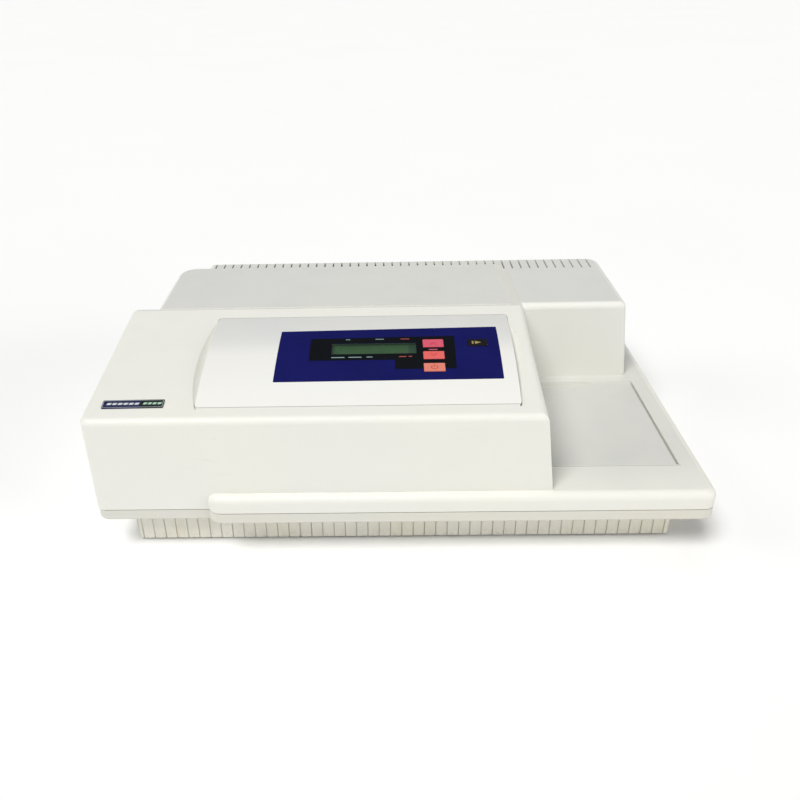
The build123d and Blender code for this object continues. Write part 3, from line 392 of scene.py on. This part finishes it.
def dark_plastic(name, c0, c1, r0=0.42, r1=0.58, grain=1100.0):
    m = Mat(name)
    n = m.noise(40.0, 4.0, 0.6)
    col = m.mix(m.rng(n, 0.35, 0.7, 0.0, 1.0), c0, c1)
    rub = m.noise(210.0, 4.0, 0.7, m.scaled(1.0, 0.4, 1.0), 0.5)
    col = m.mix(m.rng(rub, 0.64, 0.76, 0.0, 0.25), col, tuple(v * 2.2 + 0.01 for v in c1))
    m.colour(col)
    m.rough(m.rng(n, 0.3, 0.7, r0, r1))
    m.normal(m.bump(m.noise(grain, 2.0, 0.6), 0.35, 0.00004))
    m.const(spec=0.42)
    return m.m


M["black_plastic"] = dark_plastic("plastic_black", (0.010, 0.010, 0.011), (0.018, 0.018, 0.019))
M["tray"] = dark_plastic("tray_plastic", (0.028, 0.028, 0.030), (0.042, 0.042, 0.045), 0.46, 0.6)


def board_mat():
    m = Mat("board_mask")
    v = m.voro(260.0, m.scaled(1.0, 1.0, 0.0))
    n = m.noise(60.0, 3.0, 0.6)
    col = m.mix(m.rng(n, 0.3, 0.7, 0.0, 1.0), (0.008, 0.085, 0.030), (0.012, 0.12, 0.045))
    col = m.mix(m.rng(v, 0.10, 0.14, 0.6, 0.0), col, (0.42, 0.34, 0.16))
    m.colour(col)
    m.rough(m.rng(n, 0.3, 0.7, 0.25, 0.4))
    m.normal(m.bump(v, 0.2, 0.00006))
    m.const(spec=0.5)
    return m.m


M["board"] = board_mat()


def glass_mat():
    m = Mat("lens_glass")
    n = m.noise(50.0, 2.0, 0.5)
    m.colour(m.mix(m.rng(n, 0.3, 0.7, 0.0, 1.0), (0.80, 0.86, 0.92), (0.86, 0.90, 0.95)))
    m.rough(m.rng(n, 0.3, 0.7, 0.02, 0.06))
    m.normal(m.bump(n, 0.02, 0.00001))
    m.const(alpha=0.4, spec=0.6)
    return m.m


M["glass"] = glass_mat()

ASSIGN = {
    "housing": ["upper_housing"],
    "panel": ["control_panel", "drawer_fascia"],
    "base": ["base_moulding"],
    "plinth": ["plinth_skirt"],
    "rubber": ["rubber_feet"],
    "navy": ["keypad_overlay"],
    "window": ["lcd_window"],
    "display": ["lcd_module"],
    "key_pink": ["key_temp_up"],
    "key_coral": ["key_temp_down"],
    "key_orange": ["key_temp_power"],
    "key_black": ["key_drawer"],
    "badge": ["badge_plate"],
    "board": ["main_board", "keypad_board"],
    "panel_steel": ["rear_panel", "chassis_plate", "power_supply", "serial_port", "aux_port"],
    "steel": ["rear_screws", "cover_screws", "stage_posts"],
    "rod": ["drawer_rods", "stage_rods", "bridge_rod", "drawer_screw", "stage_screw", "head_screw"],
    "alu": ["drawer_carriage", "drawer_supports", "stage_plate", "stage_bridge", "stage_supports", "excitation_housing", "emission_housing", "lamp_housing"],
    "black_alu": ["read_head", "detector_module", "filter_wheel"],
    "motor": ["drawer_motor", "stage_motor", "head_motor", "filter_motor"],
    "bronze": ["drawer_bearings", "drawer_nut"],
    "brass_pin": ["inlet_pins"],
    "tray": ["drawer_tray"],
    "glass": ["head_lens", "filter_glasses", "flash_lamp"],
    "mirror": ["collimating_mirrors", "excitation_grating", "emission_grating"],
    "black_plastic": ["fan_frame", "fan_rotor", "power_entry_frame", "power_rocker", "fuse_drawer"],
}
done = set()
for key, names in ASSIGN.items():
    for nm in names:
        ob = NODES[nm]
        ob.data.materials.clear()
        ob.data.materials.append(M[key])
        done.add(nm)
missing = sorted(set(NODES) - done)
if missing:
    raise RuntimeError("nodes without a material: %s" % missing)


# ---------------------------------------------------------------- mesh helpers
def rrect(x0, x1, s0, s1, r, n=5):
    pts = []
    for cx, cs, a0 in ((x1 - r, s0 + r, -90), (x1 - r, s1 - r, 0), (x0 + r, s1 - r, 90), (x0 + r, s0 + r, 180)):
        for i in range(n + 1):
            a = math.radians(a0 + 90.0 * i / n)
            pts.append((cx + r * math.cos(a), cs + r * math.sin(a)))
    return pts


def round_poly(pts, r, n=4):
    """Polygon with rounded corners."""
    out = []
    k = len(pts)
    for i in range(k):
        p, a, b = Vector(pts[i]), Vector(pts[i - 1]), Vector(pts[(i + 1) % k])
        u, v = (a - p).normalized(), (b - p).normalized()
        ang = u.angle(v)
        d = min(r / math.tan(ang / 2), (a - p).length * 0.45, (b - p).length * 0.45)
        p0, p1 = p + u * d, p + v * d
        for j in range(n + 1):
            t = j / n
            q = (1 - t) ** 2 * p0 + 2 * (1 - t) * t * p + t ** 2 * p1
            out.append((q.x, q.y))
    return out


def patch(name, outlines, h0, h1, body, mat, on_crown=True, step=3.0):
    """Thin closed skin that follows the crowned panel (or the flat slope): outlines in (x, s), from h0 to h1 above it."""
    bm = bmesh.new()
    for pts in outlines:
        vs = [bm.verts.new((x, s, 0.0)) for x, s in pts]
        bm.faces.new(vs)
    lo = min(s for pts in outlines for _, s in pts)
    hi = max(s for pts in outlines for _, s in pts)
    s = math.ceil(lo / step) * step
    while s < hi and on_crown:
        bmesh.ops.bisect_plane(bm, geom=bm.verts[:] + bm.edges[:] + bm.faces[:], dist=1e-5, plane_co=(0, s, 0), plane_no=(0, 1, 0))
        s += step
    bmesh.ops.triangulate(bm, faces=[f for f in bm.faces if len(f.verts) > 4])
    bottom = list(bm.verts)
    top = bmesh.ops.extrude_face_region(bm, geom=bm.faces[:])
    for v in [g for g in top["geom"] if isinstance(g, bmesh.types.BMVert)]:
        v.co.z = 1.0
    for v in bm.verts:
        h = (h1 if v.co.z > 0.5 else h0) + (crown(v.co.y) if on_crown else 0.0)
        v.co = sf(v.co.x, v.co.y, h)
    bmesh.ops.recalc_face_normals(bm, faces=bm.faces)
    me = bpy.data.meshes.new(name)
    bm.to_mesh(me)
    bm.free()
    ob = bpy.data.objects.new(name, me)
    scene.collection.objects.link(ob)
    me.materials.append(mat)
    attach(ob, body)
    return ob


# ---------------------------------------------------------------- printed areas of the keypad
OV0, OV1 = 0.10, 0.19      # skin of the print over the film, which ends at 0.15
black = [(-88.1, 125.4), (-88.1, 84.9), (-5.0, 84.9), (-5.0, 69.6), (53.0, 69.8), (54.8, 128.0)]


def strip_list():
    """Bounds of the window that is cut from the black field, as x0, x1, s0, s1."""
    wx0, wx1, ws0, ws1 = -67.0, 16.2, 95.6, 115.4
    return wx0, wx1, ws0, ws1


def black_field():
    """Black L-shaped field with its cut-outs for window and keys, as one skin."""
    holes = [(-67.0, 16.2, 95.6, 115.4), (22.55, 43.55, 105.85, 120.95), (22.25, 43.15, 84.85, 98.55), (21.85, 42.65, 65.05, 78.35)]
    bm = bmesh.new()
    vs = [bm.verts.new((x, s, 0.0)) for x, s in black]
    bm.faces.new(vs)
    xs = sorted({v for h in holes for v in h[:2]})
    ss = sorted({v for h in holes for v in h[2:]} | {float(v) for v in range(66, 130, 3)})
    for x in xs:
        bmesh.ops.bisect_plane(bm, geom=bm.verts[:] + bm.edges[:] + bm.faces[:], dist=1e-5, plane_co=(x, 0, 0), plane_no=(1, 0, 0))
    for s in ss:
        bmesh.ops.bisect_plane(bm, geom=bm.verts[:] + bm.edges[:] + bm.faces[:], dist=1e-5, plane_co=(0, s, 0), plane_no=(0, 1, 0))
    gone = []
    for f in bm.faces:
        c = f.calc_center_median()
        if any(h[0] < c.x < h[1] and h[2] < c.y < h[3] for h in holes):
            gone.append(f)
    bmesh.ops.delete(bm, geom=gone, context="FACES")
    top = bmesh.ops.extrude_face_region(bm, geom=bm.faces[:])
    for v in [g for g in top["geom"] if isinstance(g, bmesh.types.BMVert)]:
        v.co.z = 1.0
    for v in bm.verts:
        v.co = sf(v.co.x, v.co.y, (OV1 if v.co.z > 0.5 else OV0) + crown(v.co.y))
    bmesh.ops.recalc_face_normals(bm, faces=bm.faces)
    me = bpy.data.meshes.new("keypad_black_field")
    bm.to_mesh(me)
    bm.free()
    ob = bpy.data.objects.new("keypad_black_field", me)
    scene.collection.objects.link(ob)
    me.materials.append(M["ink_black"])
    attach(ob, "case")
    return ob


black_field()


def bar(x0, x1, s, h=1.5):
    return rrect(x0, x1, s - h / 2, s + h / 2, 0.5, 3)


LEG0, LEG1 = 0.16, 0.225
patch("legend_bars_upper", [bar(-53.4, -48.9, 122.8), bar(-23.8, -15.4, 123.0)], LEG0, LEG1, "case", M["ink_white"])
patch("legend_bar_upper_red", [bar(1.2, 9.9, 122.9)], LEG0, LEG1, "case", M["ink_red"])
patch("legend_bars_lower", [bar(-66.5, -53.6, 89.8), bar(-50.0, -37.2, 89.9), bar(-32.4, -26.5, 90.0)], LEG0, LEG1, "case", M["ink_white"])
patch("legend_bars_lower_red", [bar(-1.0, 6.2, 90.1), bar(8.2, 11.6, 90.2)], LEG0, LEG1, "case", M["ink_red"])
patch("legend_bar_keys", [bar(28.2, 36.8, 101.9, 1.8)], LEG0, LEG1, "case", M["ink_pink"])

# ---------------------------------------------------------------- marks on the keys
K0, K1 = 0.70, 0.80        # the key tops end at 0.75


def chevron(cx, cs, w, h, t):
    return [(cx - w, cs - h), (cx, cs + h), (cx + w, cs - h), (cx + w - t * 1.3, cs - h - t * 0.55) if h > 0 else (cx + w - t * 1.3, cs - h + t * 0.55),
            (cx, cs + h - t * 1.25) if h > 0 else (cx, cs + h + t * 1.25), (cx - w + t * 1.3, cs - h - t * 0.55) if h > 0 else (cx - w + t * 1.3, cs - h + t * 0.55)]


patch("mark_temp_up", [chevron(33.0, 112.4, 3.9, 2.3, 0.95)], K0, K1, "button_temp_up", M["chev_pink"])
patch("mark_temp_down", [list(reversed(chevron(32.7, 91.9, 3.9, -2.3, 0.95)))], K0, K1, "button_temp_down", M["chev_coral"])


def ring(cx, cs, r, t, a0, a1, n=20):
    out = [(cx + r * math.cos(math.radians(a0 + (a1 - a0) * i / n)), cs + r * math.sin(math.radians(a0 + (a1 - a0) * i / n))) for i in range(n + 1)]
    inn = [(cx + (r - t) * math.cos(math.radians(a1 - (a1 - a0) * i / n)), cs + (r - t) * math.sin(math.radians(a1 - (a1 - a0) * i / n))) for i in range(n + 1)]
    return out, inn


def ring_strip(cx, cs, r, t, a0, a1, n=20):
    """Ring sector as quads, so that it needs no holes."""
    quads = []
    for i in range(n):
        b0, b1 = math.radians(a0 + (a1 - a0) * i / n), math.radians(a0 + (a1 - a0) * (i + 1) / n)
        quads.append([(cx + (r - t) * math.cos(b0), cs + (r - t) * math.sin(b0)), (cx + r * math.cos(b0), cs + r * math.sin(b0)),
                      (cx + r * math.cos(b1), cs + r * math.sin(b1)), (cx + (r - t) * math.cos(b1), cs + (r - t) * math.sin(b1))])
    return quads


def flat_mark(name, quads, extra, h0, h1, body, mat):
    """Closed thin mark made of joined quads plus separate outlines."""
    bm = bmesh.new()
    for q in quads + extra:
        vs = [bm.verts.new((x, s, 0.0)) for x, s in q]
        bm.faces.new(vs)
    bmesh.ops.remove_doubles(bm, verts=bm.verts, dist=1e-4)
    top = bmesh.ops.extrude_face_region(bm, geom=bm.faces[:])
    for v in [g for g in top["geom"] if isinstance(g, bmesh.types.BMVert)]:
        v.co.z = 1.0
    for v in bm.verts:
        v.co = sf(v.co.x, v.co.y, (h1 if v.co.z > 0.5 else h0) + crown(v.co.y))
    bmesh.ops.recalc_face_normals(bm, faces=bm.faces)
    me = bpy.data.meshes.new(name)
    bm.to_mesh(me)
    bm.free()
    ob = bpy.data.objects.new(name, me)
    scene.collection.objects.link(ob)
    me.materials.append(mat)
    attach(ob, body)
    return ob


# plain stand-by sign: an open ring and a stroke
flat_mark("mark_temp_power", ring_strip(32.2, 71.4, 3.3, 0.8, 125, 415, 24), [[(31.8, 71.6), (32.6, 71.6), (32.6, 75.6), (31.8, 75.6)]], K0, K1, "button_temp_power", M["chev_orange"])
# plain out-of-the-side sign on the drawer key: a bar and a wedge
patch("mark_drawer", [rrect(71.2, 72.8, 110.6, 116.0, 0.3, 2), [(74.2, 110.4), (80.4, 113.3), (74.2, 116.2)]], K0, K1, "button_drawer", M["ink_gold"])

# ---------------------------------------------------------------- badge: thin bright rim, plain bars and no lettering
M["rim"] = film("badge_rim", (0.40, 0.43, 0.44), (0.46, 0.49, 0.50), 0.30, 0.42, spec=0.3)
M["badge_bar"] = film("badge_bar", (0.62, 0.65, 0.66), (0.56, 0.60, 0.61), 0.34, 0.44, spec=0.2)
M["badge_bar_green"] = film("badge_bar_green", (0.42, 0.62, 0.47), (0.38, 0.57, 0.43), 0.34, 0.44, spec=0.2)
BQ = [(-271.3, 19.6), (-216.5, 20.3), (-217.1, 31.2), (-272.1, 30.4)]


def rim_quads(q, t):
    cx, cs = sum(p[0] for p in q) / 4, sum(p[1] for p in q) / 4
    inn = []
    for x, s in q:
        inn.append((x + (t if x < cx else -t), s + (t if s < cs else -t)))
    return [[q[i], q[(i + 1) % 4], inn[(i + 1) % 4], inn[i]] for i in range(4)]


def slant_bar(x0, x1, s0, s1, k=0.9):
    return [(x0, s0), (x1, s0), (x1 + k, s1), (x0 + k, s1)]


def flat_patch(name, outlines, h0, h1, mat):
    return patch(name, outlines, h0, h1, "case", mat, on_crown=False)


bm_rim = rim_quads(BQ, 0.42)
for i, q in enumerate(bm_rim):
    flat_patch("badge_rim_%d" % i, [q], 0.85, 0.97, M["rim"])
flat_patch("badge_bars_left", [slant_bar(-268.4 + 5.1 * i, -264.6 + 5.1 * i, 23.9, 26.9) for i in range(6)], 0.86, 0.95, M["badge_bar"])
flat_patch("badge_bars_right", [slant_bar(-235.2 + 4.4 * i, -232.0 + 4.4 * i, 24.2, 27.2) for i in range(4)], 0.86, 0.95, M["badge_bar_green"])

# ---------------------------------------------------------------- camera
F_PX, CAM_MM = 801.417, (-15.264, -788.74, 514.213)
PITCH, YAW, ROLL = math.radians(29.562), math.radians(-1.379), math.radians(-1.397)
fw = Vector((math.sin(YAW) * math.cos(PITCH), math.cos(YAW) * math.cos(PITCH), -math.sin(PITCH)))
rt = Vector((math.cos(YAW), -math.sin(YAW), 0.0))
up = rt.cross(fw)
right = math.cos(ROLL) * rt + math.sin(ROLL) * up
upr = math.cos(ROLL) * up - math.sin(ROLL) * rt
cam_data = bpy.data.cameras.new("camera")
cam_data.sensor_width = 36.0
cam_data.sensor_fit = "HORIZONTAL"
cam_data.lens = F_PX * 36.0 / 800.0
cam_data.shift_x = 0.04
cam_data.clip_start = 0.01
cam_data.clip_end = 100.0
cam = bpy.data.objects.new("camera", cam_data)
scene.collection.objects.link(cam)
mt = Matrix((right, upr, -fw)).transposed().to_4x4()
mt.translation = Vector(CAM_MM) / 1000.0
cam.matrix_world = mt
scene.camera = cam

# ---------------------------------------------------------------- floor, light
me = bpy.data.meshes.new("floor")
bm = bmesh.new()
R_FLOOR, N_SEG = 60.0, 48
ctr = bm.verts.new((0, 0, 0))
rings = []
for rr in (0.6, 1.6, 5.0, R_FLOOR):
    rings.append([bm.verts.new((rr * math.cos(2 * math.pi * i / N_SEG), rr * math.sin(2 * math.pi * i / N_SEG), 0.0)) for i in range(N_SEG)])
for i in range(N_SEG):
    j = (i + 1) % N_SEG
    bm.faces.new((ctr, rings[0][i], rings[0][j]))
    for a, b in zip(rings, rings[1:]):
        bm.faces.new((a[i], b[i], b[j], a[j]))
bm.to_mesh(me)
bm.free()
floor = bpy.data.objects.new("floor", me)
scene.collection.objects.link(floor)
fm = Mat("floor_paper")
fm.colour(fm.mix(fm.rng(fm.noise(2.0, 3.0, 0.5), 0.3, 0.7, 0.0, 1.0), (0.89, 0.89, 0.89), (0.90, 0.90, 0.90)))
fm.rough(fm.rng(fm.noise(30.0, 2.0, 0.5), 0.3, 0.7, 0.85, 0.95))
fm.normal(fm.bump(fm.noise(300.0, 2.0, 0.5), 0.05, 0.0001))
fm.const(spec=0.1)
me.materials.append(fm.m)


def sun(name, az, el, strength, angle, colour=(1, 1, 1)):
    """Broad distant soft light: az 0 is the front, 90 the right; el is its height above the floor, in degrees."""
    d = bpy.data.lights.new(name, "SUN")
    d.energy = strength
    d.angle = math.radians(angle)
    d.color = colour
    o = bpy.data.objects.new(name, d)
    scene.collection.objects.link(o)
    a, e = math.radians(az), math.radians(el)
    frm = Vector((math.sin(a) * math.cos(e), -math.cos(a) * math.cos(e), math.sin(e)))
    o.location = frm * 3.0
    o.rotation_euler = (-frm).to_track_quat("-Z", "Y").to_euler()
    return o


sun("key", -35.0, 57.0, 2.62, 26.0, (1.0, 0.998, 0.985))
sun("left", -85.0, 32.0, 0.45, 28.0)
sun("right", 66.0, 15.0, 1.05, 28.0)
sun("back", 180.0, 62.0, 0.35, 40.0)
world = bpy.data.worlds.new("studio")
scene.world = world
world.use_nodes = True
bg = world.node_tree.nodes["Background"]
bg.inputs["Color"].default_value = (0.985, 0.99, 1.0, 1.0)
bg.inputs["Strength"].default_value = 0.15
# what the camera sees above the horizon is as pale as the floor, and lights nothing
wt = world.node_tree
pale = wt.nodes.new("ShaderNodeBackground")
pale.inputs["Color"].default_value = (1.0, 1.0, 1.0, 1.0)
pale.inputs["Strength"].default_value = 0.95
both = wt.nodes.new("ShaderNodeMixShader")
path = wt.nodes.new("ShaderNodeLightPath")
wt.links.new(path.outputs["Is Camera Ray"], both.inputs[0])
wt.links.new(bg.outputs[0], both.inputs[1])
wt.links.new(pale.outputs[0], both.inputs[2])
wt.links.new(both.outputs[0], wt.nodes["World Output"].inputs["Surface"])

scene.view_settings.view_transform = "Standard"
scene.view_settings.look = "None"
scene.view_settings.exposure = 0.0
scene.view_settings.gamma = 1.0
